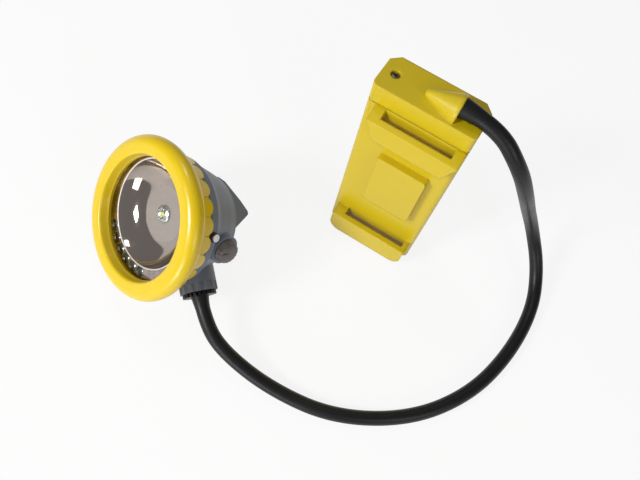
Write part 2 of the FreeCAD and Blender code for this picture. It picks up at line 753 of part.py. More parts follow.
def make_case():
    """Deep tray with two belt loops and a raised pad on its outer face."""
    case = body("battery_case", pack_pieces)
    height = d.pack_height - d.lid_height - d.seal_thick
    feature(case, "Pad", "case_pad", pack_outline(plane_sketch(case, "case_plan", "XY_Plane")), Length=height)
    hollow = pack_outline(plane_sketch(case, "hollow", "XY_Plane", height), d.pack_wall)
    feature(case, "Pocket", "hollow_cut", hollow, Length=height - d.pack_wall)

    raised = round_box(plane_sketch(case, "raised", "XZ_Plane", -0.5), 14.2, 37.4, 39.2, 72.5, as_size(1.5))
    feature(case, "Pad", "raised_pad", raised, Length=d.pad_height + 0.5)

    upper = outline(plane_sketch(case, "upper_loop", "XZ_Plane", -0.5), [
        (9.4, height - 13.0), (43.1, height - 13.0), (47.5, height - 2.2), (47.5, height),
        (4.4, height), (4.4, height - 2.2),
    ])
    feature(case, "Pad", "upper_loop_pad", upper, Length=d.loop_reach + 0.5)
    slope = outline(plane_sketch(case, "loop_slope", "YZ_Plane", 50.0), [
        (-d.loop_reach - 1, height - 2.5), (0, height), (0, height + 1), (-d.loop_reach - 1, height + 1),
    ])
    feature(case, "Pocket", "loop_slope_cut", slope, Length=50.0)
    lower = outline(plane_sketch(case, "lower_loop", "XZ_Plane", -0.5), [
        (9.0, 1.5), (40.0, 1.5, 6.0), (46.0, 7.5), (46.0, 15.5), (3.0, 15.5), (3.0, 7.5, 6.0),
    ])
    feature(case, "Pad", "lower_loop_pad", lower, Length=d.loop_reach + 0.5)
    for name, top, low_x, high_x in (("upper_window", height + 0.1, 9.5, 43.0), ("lower_window", 16.0, 9.0, 43.5)):
        window = box_outline(plane_sketch(case, name, "XY_Plane", top), low_x, -d.loop_clear, high_x, 0)
        feature(case, "Pocket", name + "_cut", window, Length=15.0)

    for name, x, y, low, high in (("left_post", 6.0, 10.0, 1.0, 8.6), ("right_post", 42.0, 8.5, 39.4, 47.0)):
        post = box_outline(plane_sketch(case, name, "XY_Plane", height - d.post_length), low, y - 2.6, high, y + 2.6)
        feature(case, "Pad", name + "_pad", post, Length=d.post_length)
        hole = circle(plane_sketch(case, name + "_hole", "XY_Plane", height), x, y, 1.1)
        feature(case, "Pocket", name + "_hole_cut", hole, Length=9.0)


def make_lid():
    """Cap over the tray: two sunk screws and a half-cone boss that takes the cord."""
    lid = body("battery_lid", pack_pieces)
    base = d.pack_height - d.lid_height
    feature(lid, "Pad", "lid_pad", pack_outline(plane_sketch(lid, "lid_plan", "XY_Plane", base)),
            Length=d.lid_height)
    cone = plane_sketch(lid, "cone", "XZ_Plane")
    cone.setExpression("AttachmentOffset.Base.z", None)
    axis_height = d.pack_height + d.boss_axis
    cone.AttachmentOffset = FreeCAD.Placement(V(0, axis_height.value, -d.boss_line.value), FreeCAD.Rotation())
    outline(cone, [
        (20.6, 0), (d.boss_end, 0), (d.boss_end, d.boss_radius - 0.4), (d.boss_end - 0.4, d.boss_radius),
        (d.boss_end - 1.6, d.boss_radius), (21.6, 2.0), (20.6, 1.2),
    ])
    feature(lid, "Revolution", "cone_turn", cone, axis="H_Axis", Angle=360)

    under = round_box(plane_sketch(lid, "under", "XY_Plane", base), 10.5, 3.0, 37.5, 17.0, as_size(2.0))
    feature(lid, "Pocket", "under_cut", under, flip=True, Length=d.lid_height - 3.0)
    riser = circle(plane_sketch(lid, "riser", "XY_Plane", base), 30.5, d.boss_line, 2.0)
    feature(lid, "Pocket", "riser_cut", riser, flip=True, Length=d.lid_height + 4.0)
    throat = circle(plane_sketch(lid, "throat", "YZ_Plane", d.boss_end), d.boss_line, d.pack_height + d.cord_rise, 2.2)
    feature(lid, "Pocket", "throat_cut", throat, Length=7.0)

    screws = []
    for i, (x, y) in enumerate(((6.0, 10.0), (42.0, 8.5))):
        recess = circle(plane_sketch(lid, "recess", "XY_Plane", d.pack_height), x, y, d.recess_radius)
        feature(lid, "Pocket", "recess_cut", recess, Length=1.8)
        hole = circle(plane_sketch(lid, "hole", "XY_Plane", d.pack_height), x, y, 1.15)
        feature(lid, "Pocket", "hole_cut", hole, Length=10.0)
        seat = d.pack_height.value - 1.8
        shank = cylinder(f"lid_shank_{i}", 1.0, 14.0, V(x, y, seat - 14.0))
        head = cylinder(f"lid_head_{i}", d.screw_head, 1.4, V(x, y, seat))
        screws.append(fuse(f"lid_screw_{i}", [shank, head]))
    set_of("lid_screws", pack_pieces, screws)

    seal = body("lid_seal", pack_pieces)
    ring = plane_sketch(seal, "seal_plan", "XY_Plane", base - d.seal_thick)
    pack_outline(ring, 0.5)
    pack_outline(ring, 1.9)
    feature(seal, "Pad", "seal_pad", ring, Length=d.seal_thick)

    clamp = body("cord_clamp", pack_pieces)
    ceiling = d.pack_height - 3.0
    plate = box_outline(plane_sketch(clamp, "clamp_plan", "XY_Plane", ceiling - 3.0), 25.5, 4.5, 35.5, 11.5)
    feature(clamp, "Pad", "clamp_pad", plate, Length=3.0)
    hole = circle(plane_sketch(clamp, "clamp_hole", "XY_Plane", ceiling), 30.5, d.boss_line, 1.6)
    feature(clamp, "Pocket", "clamp_hole_cut", hole, Length=4.0)


def make_cells():
    """Two flat cells end to end, their tabs, the protection board above and foam behind."""
    wall = d.pack_wall.value
    height = d.cell_height.value
    side = (d.pack_width.value - d.cell_width.value) / 2
    gap = 0.6
    cells = [block(f"cell_{i}", d.cell_width, d.cell_thick, d.cell_height, V(side, wall, wall + i * (height + gap)))
             for i in range(2)]
    set_of("battery_cells", pack_pieces, cells)
    top = wall + 2 * height + gap
    tabs = [block("link_tab", 6.0, 8.0, gap, V(21.0, 4.0, wall + height))]
    tabs += [block(f"board_tab_{i}", 4.0, 0.4, 2.0, V(x, 8.0, top)) for i, x in enumerate((14.0, 30.0))]
    set_of("cell_tabs", pack_pieces, tabs)
    set_of("protection_board", pack_pieces, [block("board_block", 28.0, 11.0, 1.2, V(10.0, 3.0, top + 2.0))])
    foam = block("foam_block", d.cell_width - 4.0, d.pack_thick - 2 * d.pack_wall - d.cell_thick,
                 2 * d.cell_height + gap, V(side + 2.0, wall + d.cell_thick.value, wall))
    set_of("foam_pad", pack_pieces, [foam])


# All sub-parts are made, then set down as they lie.

make_bezel()
make_optics()
make_small_lights()
make_housing()
make_engine()
make_switch()
make_post()
make_gland()
make_hook()
make_case()
make_lid()
make_cells()
doc.recompute()

# The light points at a bearing and a height above the floor, and the head is rolled about it.
AIM_BEARING = -120.93
AIM_HEIGHT = 37.97
ROLL = 160.0
head_turn = (FreeCAD.Rotation(V(0, 0, 1), AIM_BEARING) * FreeCAD.Rotation(V(0, 1, 0), 90 - AIM_HEIGHT)
             * FreeCAD.Rotation(V(0, 0, 1), ROLL))
head_place = FreeCAD.Placement(V(-63.9, -79.5, 46.3), head_turn)


def box_of(things):
    """Exact box round some sub-parts."""
    whole = FreeCAD.BoundBox()
    for thing in things:
        whole.add(thing.Shape.optimalBoundingBox(False))
    return whole


def place(things, placement):
    for thing in things:
        thing.Placement = placement
    doc.recompute()


# The head is lowered until its hook touches the floor, then all is centred on the box's base.
place(head_pieces, head_place)
head_place.Base.z -= box_of([p for p in head_pieces if p.Label == "helmet_hook"]).ZMin
place(head_pieces, head_place)
whole = box_of(head_pieces + pack_pieces)
shift = V(-whole.Center.x, -whole.Center.y, 0)
head_place.Base += shift
place(head_pieces, head_place)
place(pack_pieces, FreeCAD.Placement(shift, FreeCAD.Rotation()))
print("pack corner", shift, "head", head_place.Base)


# Cord.

def cord_route():
    """Corner points of the cord from the lid's boss to the gland, in the order it runs."""
    start = shift + V(d.boss_end.value, d.boss_line.value, (d.pack_height + d.cord_rise).value)
    route = [start, start + V(16.0, 0, 0)]
    for x, y, z in (
        (71.5, 5.5, 101.0), (84.0, 12.5, 77.5), (83.5, 37.0, 52.0), (94.5, 43.5, 29.5), (111.0, 33.5, 12.0),
        (120.5, 10.5, 3.8), (119.0, -20.0, 3.6), (110.0, -50.0, 3.6), (90.0, -77.0, 3.6), (58.0, -96.5, 3.6),
        (25.0, -101.5, 3.6), (-4.0, -100.0, 10.0),
    ):
        route.append(shift + V(x, y, z))
    seat = (d.gland_seat + d.nut_length).value
    for reach in (seat + 13.0, seat):
        route.append(head_place.multVec(V(0, -reach, -d.gland_depth.value)))
    return route


def rounded_path(route):
    """Straight runs joined by tangent arcs as large as the runs allow."""
    edges = []
    here = route[0]
    for before, corner, after in zip(route, route[1:], route[2:]):
        back = before - corner
        on = after - corner
        reach = 0.45 * min(back.Length, on.Length)
        half_turn = (math.pi - back.getAngle(on)) / 2
        radius = reach / math.tan(half_turn)
        first = corner + V(back).normalize() * reach
        last = corner + V(on).normalize() * reach
        inward = (V(back).normalize() + V(on).normalize()).normalize()
        middle = corner + inward * (radius / math.cos(half_turn) - radius)
        edges.append(Part.LineSegment(here, first).toShape())
        edges.append(Part.Arc(first, middle, last).toShape())
        print(f"run {back.Length:.1f}  turn {math.degrees(2 * half_turn):.1f}  radius {radius:.1f}")
        here = last
    edges.append(Part.LineSegment(here, route[-1]).toShape())
    print(f"run {(route[-1] - route[-2]).Length:.1f}")
    return Part.Wire(edges)


path = rounded_path(cord_route())
start_edge = path.Edges[0]
ring = Part.Wire([Part.Circle(start_edge.valueAt(start_edge.FirstParameter),
                              start_edge.tangentAt(start_edge.FirstParameter), d.cord_radius.value).toShape()])
tube = path.makePipeShell([ring], True, False)
expected = math.pi * d.cord_radius.value ** 2 * path.Length
assert abs(tube.Volume / expected - 1) < 0.01, "the cord's volume is not its section times its length"
cord = doc.addObject("Part::Feature", "lamp_cord")
cord.Shape = tube
cord.Label = "lamp_cord"
pieces.append(cord)
print(f"cord length {path.Length:.1f} mm, volume {tube.Volume:.0f}, section times length {expected:.0f}")


# Each sub-part is checked and written to its own file.

doc.recompute()
for thing in doc.Objects:
    assert "Invalid" not in thing.State and "Error" not in thing.State, f"{thing.Label}: {thing.State}"
labels = [piece.Label for piece in pieces]
assert len(set(labels)) == len(labels), "two sub-parts share a name"
os.makedirs("parts", exist_ok=True)
for piece in pieces:
    shape = piece.Shape
    assert not shape.isNull() and shape.isValid(), f"{piece.Label} has no valid shape"
    shape.exportStep(f"parts/{piece.Label}.step")
    print(f"{piece.Label}: {len(shape.Solids)} solid(s), {shape.Volume:.1f} cubic mm")
whole = box_of(pieces[:-1])
print(f"object {whole.XLength:.2f} x {whole.YLength:.2f} x {whole.ZLength:.2f}, lowest {whole.ZMin:.3f}")
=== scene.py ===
import json
import math

import bmesh
import bpy
from mathutils import Matrix, Vector


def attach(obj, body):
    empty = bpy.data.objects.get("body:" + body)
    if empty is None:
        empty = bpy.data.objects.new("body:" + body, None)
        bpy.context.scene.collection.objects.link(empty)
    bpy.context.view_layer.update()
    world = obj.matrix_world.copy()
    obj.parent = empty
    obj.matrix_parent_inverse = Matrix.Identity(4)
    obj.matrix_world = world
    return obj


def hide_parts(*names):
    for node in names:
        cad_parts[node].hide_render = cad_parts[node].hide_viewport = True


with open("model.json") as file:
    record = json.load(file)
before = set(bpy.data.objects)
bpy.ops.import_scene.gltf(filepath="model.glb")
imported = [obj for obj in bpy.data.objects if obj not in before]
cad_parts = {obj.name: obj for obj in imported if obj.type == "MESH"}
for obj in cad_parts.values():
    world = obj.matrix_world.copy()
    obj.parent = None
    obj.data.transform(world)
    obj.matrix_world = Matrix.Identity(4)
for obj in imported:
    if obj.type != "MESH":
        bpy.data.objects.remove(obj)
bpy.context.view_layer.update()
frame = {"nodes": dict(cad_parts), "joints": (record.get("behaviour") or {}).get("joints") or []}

# ---- Camera
# The lamp lies on a pale table and is looked down on steeply, with the battery
# pack standing behind and to the right of the lamp head.

def put(name, data):
    """A new object of this name in the scene."""
    made = bpy.data.objects.new(name, data)
    bpy.context.scene.collection.objects.link(made)
    return made


picture_width = 640.0
focal_length = 622.0  # measured in the picture's own points, as its width is
film_width = 36.0
viewpoint = Vector((0.07039, -0.12603, 0.30094))
to_the_right = Vector((0.84999, 0.50889, 0.13619))
upwards = Vector((-0.51199, 0.73717, 0.44095))
camera = put("camera", bpy.data.cameras.new("camera"))
camera.data.sensor_width = film_width
camera.data.lens = focal_length * film_width / picture_width
camera.data.clip_start = 0.01
turned = Matrix((to_the_right, upwards, to_the_right.cross(upwards))).transposed().to_4x4()
camera.matrix_world = Matrix.Translation(viewpoint) @ turned
bpy.context.scene.camera = camera


# ---- Lamp cord
# A black rubber-jacketed two-core cord, 7 mm thick. It is moulded into the half-cone boss on the
# pack's lid, drops to the table, runs round in one wide curve and enters the lamp head's gland.

class Shade:
    """One socket of a material; sums and products of it become Math nodes."""

    def __init__(self, tree, socket=None):
        self.tree = tree
        self.socket = socket

    def node(self, kind, settings=None, sockets=None, take=0):
        """Any node: its settings first, then the values or links of its sockets."""
        made = self.tree.nodes.new(kind)
        for name, value in (settings or {}).items():
            setattr(made, name, value)
        for name, value in (sockets or {}).items():
            if isinstance(value, Shade):
                self.tree.links.new(value.socket, made.inputs[name])
            else:
                made.inputs[name].default_value = value
        return Shade(self.tree, made.outputs[take])

    def maths(self, operation, first, second):
        """One Math node."""
        return self.node("ShaderNodeMath", {"operation": operation}, {0: first, 1: second})

    def __add__(self, other):
        return self.maths("ADD", self, other)

    def __radd__(self, other):
        return self.maths("ADD", other, self)

    def __sub__(self, other):
        return self.maths("SUBTRACT", self, other)

    def __rsub__(self, other):
        return self.maths("SUBTRACT", other, self)

    def __mul__(self, other):
        return self.maths("MULTIPLY", self, other)

    def __rmul__(self, other):
        return self.maths("MULTIPLY", other, self)

    def tint(self, low, high):
        """A colour that goes from low to high as the socket goes from 0 to 1."""
        return self.node("ShaderNodeMix", {"data_type": "RGBA"},
                         {0: self, 6: (*low, 1.0), 7: (*high, 1.0)}, take=2)


def sight(red, green, blue):
    """A colour as the eye reads it, 0 to 255, turned into the amounts of light a material takes."""
    shares = [level / 255 for level in (red, green, blue)]
    return tuple(share / 12.92 if share <= 0.04045 else ((share + 0.055) / 1.055) ** 2.4 for share in shares)


def new_finish(name):
    """A new material: the place to start its nodes from, its place on the object, and its shader."""
    material = bpy.data.materials.new(name)
    material.use_nodes = True
    tree = material.node_tree
    start = Shade(tree)
    place = start.node("ShaderNodeTexCoord", take=3)
    return material, start, place, tree.nodes["Principled BSDF"]


def feed(start, shader, **values):
    """Set or link sockets of a shader by name, an underscore standing for a space."""
    for name, value in values.items():
        socket = shader.inputs[name.replace("_", " ")]
        if isinstance(value, Shade):
            start.tree.links.new(value.socket, socket)
        else:
            socket.default_value = value


def dress(material, *nodes):
    """Give CAD nodes a material."""
    for name in nodes:
        slots = frame["nodes"][name].data.materials
        slots.clear()
        slots.append(material)


rubber, start, place, shader = new_finish("black_rubber")
grain = start.node("ShaderNodeTexNoise", None, {"Vector": place, "Scale": 2400.0, "Detail": 3.0})
smear = start.node("ShaderNodeTexNoise", None, {"Vector": place, "Scale": 70.0, "Detail": 4.0})
bump = start.node("ShaderNodeBump", None, {"Strength": 0.25, "Distance": 0.00012, "Height": grain})
feed(start, shader, Base_Color=smear.tint(sight(9, 9, 12), sight(18, 18, 22)), Roughness=0.3 + smear * 0.22,
     Normal=bump, Specular_IOR_Level=0.35)
dress(rubber, "gland_ring", "lens_gasket", "knob_seal")

cord_radius = 0.0035
pack_corner = Vector((0.024572, 0.042779, 0.0))
bezel_joint, knob_joint = frame["joints"]
lamp_front = Vector(bezel_joint["pos_m"])
lamp_z = Vector(bezel_joint["axis"])
knob_out = Vector(knob_joint["axis"])
knob_turn = math.radians(46.0)  # how far the knob stands round from the lamp's sideways axis
lamp_x = knob_out * math.cos(knob_turn) + lamp_z.cross(knob_out) * math.sin(knob_turn)
lamp_y = lamp_z.cross(lamp_x)


def on_lamp(x, y, depth):
    """A point of the lamp head, in metres: across, up away from the gland, and behind the front."""
    return lamp_front + lamp_x * x + lamp_y * y - lamp_z * depth


cord_points = [pack_corner + Vector(point) / 1000 for point in (
    (36.5, 8.0, 113.4), (52.5, 8.0, 113.4), (69.5, 5.0, 101.0), (79.0, 13.0, 79.5), (86.5, 28.5, 53.0),
    (96.5, 39.0, 28.5), (111.5, 30.5, 11.5), (120.5, 10.5, 3.8), (119.0, -20.0, 3.6), (110.0, -50.0, 3.6),
    (90.0, -77.0, 3.6), (58.0, -96.5, 3.6), (25.0, -101.5, 3.6), (-4.0, -100.0, 10.0),
)]
cord_points += [on_lamp(0, -0.0495, 0.028), on_lamp(0, -0.0365, 0.028)]

line = bpy.data.curves.new("cord", "CURVE")
line.dimensions = "3D"
line.bevel_depth = cord_radius
line.bevel_resolution = 8
line.resolution_u = 20
line.use_fill_caps = True
spline = line.splines.new("NURBS")
spline.points.add(len(cord_points) - 1)
for point, place_of in zip(spline.points, cord_points):
    point.co = (*place_of, 1.0)
spline.order_u = 3
spline.use_endpoint_u = True
cord = put("cord", line)
line.materials.append(rubber)
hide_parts("lamp_cord")
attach(cord, "lamp")


def sleeve(name, end, bend, after, wide):
    """A short rubber sleeve on one end of the cord, wide at the housing and thin along the cord."""
    steps = 10
    reach = 0.3
    thin = 1.03
    halfway = (bend + after) / 2
    course = bpy.data.curves.new(name, "CURVE")
    course.dimensions = "3D"
    course.bevel_depth = cord_radius
    course.bevel_resolution = 8
    course.use_fill_caps = True
    track = course.splines.new("POLY")
    track.points.add(steps)
    for i, point in enumerate(track.points):
        t = reach * i / steps
        spot = end * (1 - t) ** 2 + bend * 2 * t * (1 - t) + halfway * t ** 2
        point.co = (*spot, 1.0)
        point.radius = thin + (wide - thin) * (1 - i / steps) ** 1.5
    made = put(name, course)
    course.materials.append(rubber)
    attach(made, "lamp")
    return made


sleeves = [
    sleeve("boss_sleeve", cord_points[0], cord_points[1], cord_points[2], 1.3),
    sleeve("gland_sleeve", cord_points[-1], cord_points[-2], cord_points[-3], 1.35),
]


# ---- Bezel, battery case and lid
# The three yellow mouldings are injection-moulded glossy plastic, coloured right through.
# The bezel is a fat ring with a scalloped grip; the case and its screwed lid make the pack.

def yellow_finish(name, low, high, gloss, round_edge):
    """Glossy moulded plastic with faint flow marks, fine orange peel, rubbed patches and soft edges."""
    material, start, place, shader = new_finish(name)
    flow = start.node("ShaderNodeTexNoise", None,
                      {"Vector": place, "Scale": 22.0, "Detail": 5.0, "Distortion": 0.6})
    peel = start.node("ShaderNodeTexNoise", None, {"Vector": place, "Scale": 900.0, "Detail": 2.0})
    rub = start.node("ShaderNodeTexNoise", None, {"Vector": place, "Scale": 150.0, "Detail": 6.0})
    soft = start.node("ShaderNodeBevel", {"samples": 6}, {"Radius": round_edge})
    bump = start.node("ShaderNodeBump", None,
                      {"Strength": 0.12, "Distance": 0.0001, "Height": peel, "Normal": soft})
    feed(start, shader, Base_Color=flow.tint(low, high), Roughness=gloss + rub * 0.16, Normal=bump,
         Coat_Weight=0.18, Coat_Roughness=0.12, Subsurface_Weight=0.1, Subsurface_Scale=0.002,
         Subsurface_Radius=(1.0, 0.6, 0.1))
    return material


bezel_yellow = yellow_finish("bezel_yellow", sight(214, 183, 8), sight(225, 195, 12), 0.22, 0.0003)
dress(bezel_yellow, "bezel_ring")
dress(yellow_finish("pack_yellow", sight(198, 174, 9), sight(211, 187, 14), 0.3, 0.0011),
      "battery_case", "battery_lid", "lid_seal")

# The ring's face is nearly flat and turns in over a crisp edge to a steep wall round the window.
# Each step is a share of the rounded lip's quarter turn, then a radius and a height in mm.
lip_radius = 33.1
lip_floor = -4.6
lip_centre_radius = 33.0
lip_centre_height = -4.7
sharp_edge = math.radians(32)
face_steps = [(0.0, 28.5, -4.5), (0.333, 28.9, -1.2), (0.417, 29.0, -0.7), (0.5, 29.3, -0.3),
              (0.583, 29.8, -0.12), (1.0, 33.1, 0.0)]
moulded = frame["nodes"]["bezel_ring"].data
shape = bmesh.new()
for corner in moulded.vertices:
    away = corner.co - lamp_front
    height = away.dot(lamp_z) * 1000
    across = away - lamp_z * away.dot(lamp_z)
    radius = across.length * 1000
    if radius < lip_radius and height > lip_floor:
        rise = math.atan2(height - lip_centre_height, lip_centre_radius - radius)
        share = min(max(rise / (math.pi / 2), 0.0), 1.0)
        for low, high in zip(face_steps, face_steps[1:]):
            if low[0] <= share <= high[0]:
                part = (share - low[0]) / (high[0] - low[0])
                radius = low[1] + (high[1] - low[1]) * part
                height = low[2] + (high[2] - low[2]) * part
                break
    shape.verts.new(lamp_front + across.normalized() * (radius / 1000) + lamp_z * (height / 1000))
shape.verts.ensure_lookup_table()
for face in moulded.polygons:
    corners = [shape.verts[i] for i in face.vertices]
    if len(set(corners)) == len(corners) and shape.faces.get(corners) is None:
        shape.faces.new(corners)
bmesh.ops.remove_doubles(shape, verts=shape.verts, dist=0.000002)
for face in shape.faces:
    face.smooth = True
for edge in shape.edges:
    if edge.is_manifold and edge.calc_face_angle() > sharp_edge:
        edge.smooth = False


def cast(name, shape):
    """Turn a shape that is worked out into a piece of the scene."""
    mesh = bpy.data.meshes.new(name)
    shape.to_mesh(mesh)
    shape.free()
    return put(name, mesh)


bezel = cast("bezel_face", shape)
bezel.data.materials.append(bezel_yellow)
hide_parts("bezel_ring")
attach(bezel, "bezel")


# ---- Lens
# A flat disc of clear polycarbonate, clamped on a rubber gasket behind the bezel's lip.
# It passes the light and shows only a thin gloss.

def clear_finish(name, bending, through, cloud_scale, cloud_share):
    """Clear plastic: light goes straight through, and only its outer side gives a thin gloss."""
    material, start, place, _ = new_finish(name)
    cloud = start.node("ShaderNodeTexNoise", None, {"Vector": place, "Scale": cloud_scale, "Detail": 6.0})
    gloss = start.node("ShaderNodeBsdfAnisotropic", None, {"Color": (1, 1, 1, 1), "Roughness": 0.03})
    passing = start.node("ShaderNodeBsdfTransparent", None, {"Color": (*through, 1)})
    shine = start.node("ShaderNodeFresnel", None, {"IOR": bending})
    inside = start.node("ShaderNodeNewGeometry", take=6)
    share = (shine + cloud * cloud_share) * (1.0 - inside)
    mixed = start.node("ShaderNodeMixShader", None, {0: share, 1: passing, 2: gloss})
    start.tree.links.new(mixed.socket, start.tree.nodes["Material Output"].inputs["Surface"])
    return material


dress(clear_finish("clear_lens", 1.35, (0.975, 0.985, 0.975), 320.0, 0.004), "lens")


# ---- Reflector
# One moulding plated bright by vacuum: a flat plate with holes for the small lights and a deep
# bowl set off its centre, with a thin raised rim round the mouth of the bowl.

mirror, start, place, shader = new_finish("bright_plating")
ripple = start.node("ShaderNodeTexNoise", None, {"Vector": place, "Scale": 160.0, "Detail": 2.0})
speck = start.node("ShaderNodeTexNoise", None, {"Vector": place, "Scale": 1400.0, "Detail": 3.0})
bump = start.node("ShaderNodeBump", None, {"Strength": 0.35, "Distance": 0.0001, "Height": ripple})
feed(start, shader, Base_Color=speck.tint(sight(164, 149, 142), sight(184, 169, 162)), Metallic=1.0,
     Roughness=0.05 + ripple * 0.05, Normal=bump)
dress(mirror, "reflector")


def lathe(name, rings, centre, axis_x, axis_y, axis_z, sides=96):
    """A turned surface through (radius, height) rings about an axis of the lamp head."""
    shape = bmesh.new()
    rows = []
    for radius, height in rings:
        row = []
        for i in range(sides):
            angle = 2 * math.pi * i / sides
            out = axis_x * math.cos(angle) + axis_y * math.sin(angle)
            row.append(shape.verts.new(centre + axis_z * height + out * radius))
        rows.append(row)
    for below, above in zip(rows, rows[1:]):
        for i in range(sides):
            j = (i + 1) % sides
            shape.faces.new((below[i], below[j], above[j], above[i]))
    bmesh.ops.recalc_face_normals(shape, faces=shape.faces)
    for face in shape.faces:
        face.smooth = True
    return cast(name, shape)


bowl_bearing = math.radians(27.0)
bowl_shift = 0.003
bowl_centre = on_lamp(bowl_shift * math.cos(bowl_bearing), bowl_shift * math.sin(bowl_bearing), 0.0)
bowl_rim = lathe("bowl_rim", [
    (0.0251, -0.0072), (0.0251, -0.00665), (0.0253, -0.00645), (0.0256, -0.00645), (0.0258, -0.00665),
    (0.0258, -0.0068),
], bowl_centre, lamp_x, lamp_y, lamp_z)
satin, start, place, shader = new_finish("satin_plating")
dust = start.node("ShaderNodeTexNoise", None, {"Vector": place, "Scale": 800.0, "Detail": 3.0})
feed(start, shader, Base_Color=dust.tint(sight(226, 214, 214), sight(244, 236, 236)), Metallic=0.5,
     Roughness=0.32 + dust * 0.15)
bowl_rim.data.materials.append(satin)
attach(bowl_rim, "lamp")


# ---- Main light and its board
# A round aluminium-core board with a pale mask, and on it a light-emitting chip: a yellow
# phosphor square in a silver cup under a clear dome.

mask, start, place, shader = new_finish("pale_board_mask")
fibre = start.node("ShaderNodeTexNoise", None, {"Vector": place, "Scale": 500.0, "Detail": 5.0})
bump = start.node("ShaderNodeBump", None, {"Strength": 0.2, "Distance": 0.0001, "Height": fibre})
feed(start, shader, Base_Color=fibre.tint(sight(152, 140, 138), sight(172, 160, 157)),
     Roughness=0.42 + fibre * 0.1, Metallic=0.25, Normal=bump)
dress(mask, "main_led_board")

dress(clear_finish("clear_dome", 1.55, (0.9, 0.93, 0.91), 900.0, 0.08), "main_led", "aux_leds")

phosphor, start, place, shader = new_finish("yellow_phosphor")
grit = start.node("ShaderNodeTexNoise", None, {"Vector": place, "Scale": 3000.0, "Detail": 3.0})
feed(start, shader, Base_Color=grit.tint(sight(226, 214, 120), sight(244, 236, 160)),
     Roughness=0.5 + grit * 0.2)

silver, start, place, shader = new_finish("silver_cup")
turning = start.node("ShaderNodeTexNoise", None, {"Vector": place, "Scale": 1500.0, "Detail": 2.0})
feed(start, shader, Base_Color=turning.tint(sight(170, 172, 176), sight(215, 216, 220)), Metallic=1.0,
     Roughness=0.18 + turning * 0.2)


def chip(name, centre, lengths, axes):
    """A small pad with bevelled edges, its sides along three axes."""
    shape = bmesh.new()
    bmesh.ops.create_cube(shape, size=1.0)
    bmesh.ops.bevel(shape, geom=shape.edges[:], offset=0.12, segments=2, affect="EDGES")
    turn = Matrix(axes).transposed().to_4x4()
    scale = Matrix.Diagonal((*lengths, 1.0))
    bmesh.ops.transform(shape, matrix=Matrix.Translation(centre) @ turn @ scale, verts=shape.verts)
    return cast(name, shape)


main_chip = chip("main_chip", bowl_centre - lamp_z * 0.0131, (0.0022, 0.0022, 0.0005),
                 (lamp_x, lamp_y, lamp_z))
main_chip.data.materials.append(phosphor)
main_cup = lathe("main_cup", [
    (0.0016, -0.0130), (0.0026, -0.0124), (0.0031, -0.0124), (0.0036, -0.0130), (0.0041, -0.01305),
    (0.0042, -0.0133), (0.0042, -0.0138),
], bowl_centre, lamp_x, lamp_y, lamp_z, sides=48)
main_cup.data.materials.append(silver)
for piece in (main_chip, main_cup):
    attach(piece, "lamp")


# ---- Small lights
# Six clear round lights stand in holes along the low side of the plate, on a crescent board.
# Each has a tiny phosphor square in a bright cup. The other circuit boards are the same green.

small_lights = 6
first_bearing = 171.0
bearing_step = 13.6
lights_radius = 0.0254
for i in range(small_lights):
    bearing = math.radians(first_bearing + bearing_step * i)
    foot = on_lamp(lights_radius * math.cos(bearing), lights_radius * math.sin(bearing), 0.0)
    cup = lathe(f"small_cup_{i + 1}", [
        (0.0004, -0.0090), (0.0009, -0.0086), (0.0014, -0.0084), (0.0016, -0.0086), (0.0016, -0.0092),
    ], foot, lamp_x, lamp_y, lamp_z, sides=24)
    cup.data.materials.append(silver)
    spark = chip(f"small_chip_{i + 1}", foot - lamp_z * 0.0089, (0.0007, 0.0007, 0.0003),
                 (lamp_x, lamp_y, lamp_z))
    spark.data.materials.append(phosphor)
    for piece in (cup, spark):
        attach(piece, "lamp")

green, start, place, shader = new_finish("green_board")
weave = start.node("ShaderNodeTexNoise", None, {"Vector": place, "Scale": 700.0, "Detail": 4.0})
track = start.node("ShaderNodeTexVoronoi", {"feature": "DISTANCE_TO_EDGE"}, {"Vector": place, "Scale": 380.0})
copper = track.node("ShaderNodeMath", {"operation": "LESS_THAN"}, {0: track, 1: 0.06})
feed(start, shader, Base_Color=(weave * 0.5 + copper * 0.4).tint(sight(12, 52, 30), sight(70, 120, 70)),
     Roughness=0.3 + weave * 0.15, Coat_Weight=0.4, Coat_Roughness=0.1)
dress(green, "aux_led_board", "driver_board", "protection_board")


# ---- Head housing, hook, gland nut and knob
# Grey moulded plastic with a fine spark-eroded grain. The hook is a separate moulding screwed
# to the back, the nut is the same grey, and the knob is a darker brown-grey.

def grey_finish(name, low, high):
    """Moulded grey with a fine grain and faint scuffs."""
    material, start, place, shader = new_finish(name)
    spark = start.node("ShaderNodeTexNoise", None, {"Vector": place, "Scale": 1500.0, "Detail": 3.0})
    scuff = start.node("ShaderNodeTexNoise", None,
                       {"Vector": place, "Scale": 60.0, "Detail": 7.0, "Roughness": 0.7})
    bump = start.node("ShaderNodeBump", None, {"Strength": 0.35, "Distance": 0.0001, "Height": spark})
    feed(start, shader, Base_Color=scuff.tint(low, high), Roughness=0.36 + scuff * 0.2, Normal=bump)
    return material


dress(grey_finish("grey_plastic", sight(100, 107, 122), sight(124, 131, 146)),
      "head_housing", "helmet_hook", "gland_nut")
knob_grey = grey_finish("dark_grey_plastic", sight(92, 86, 86), sight(112, 106, 105))
dress(knob_grey, "switch_knob")
dress(grey_finish("black_plastic", sight(20, 20, 22), sight(34, 34, 37)),
      "switch_body", "post_bush", "cord_clamp")

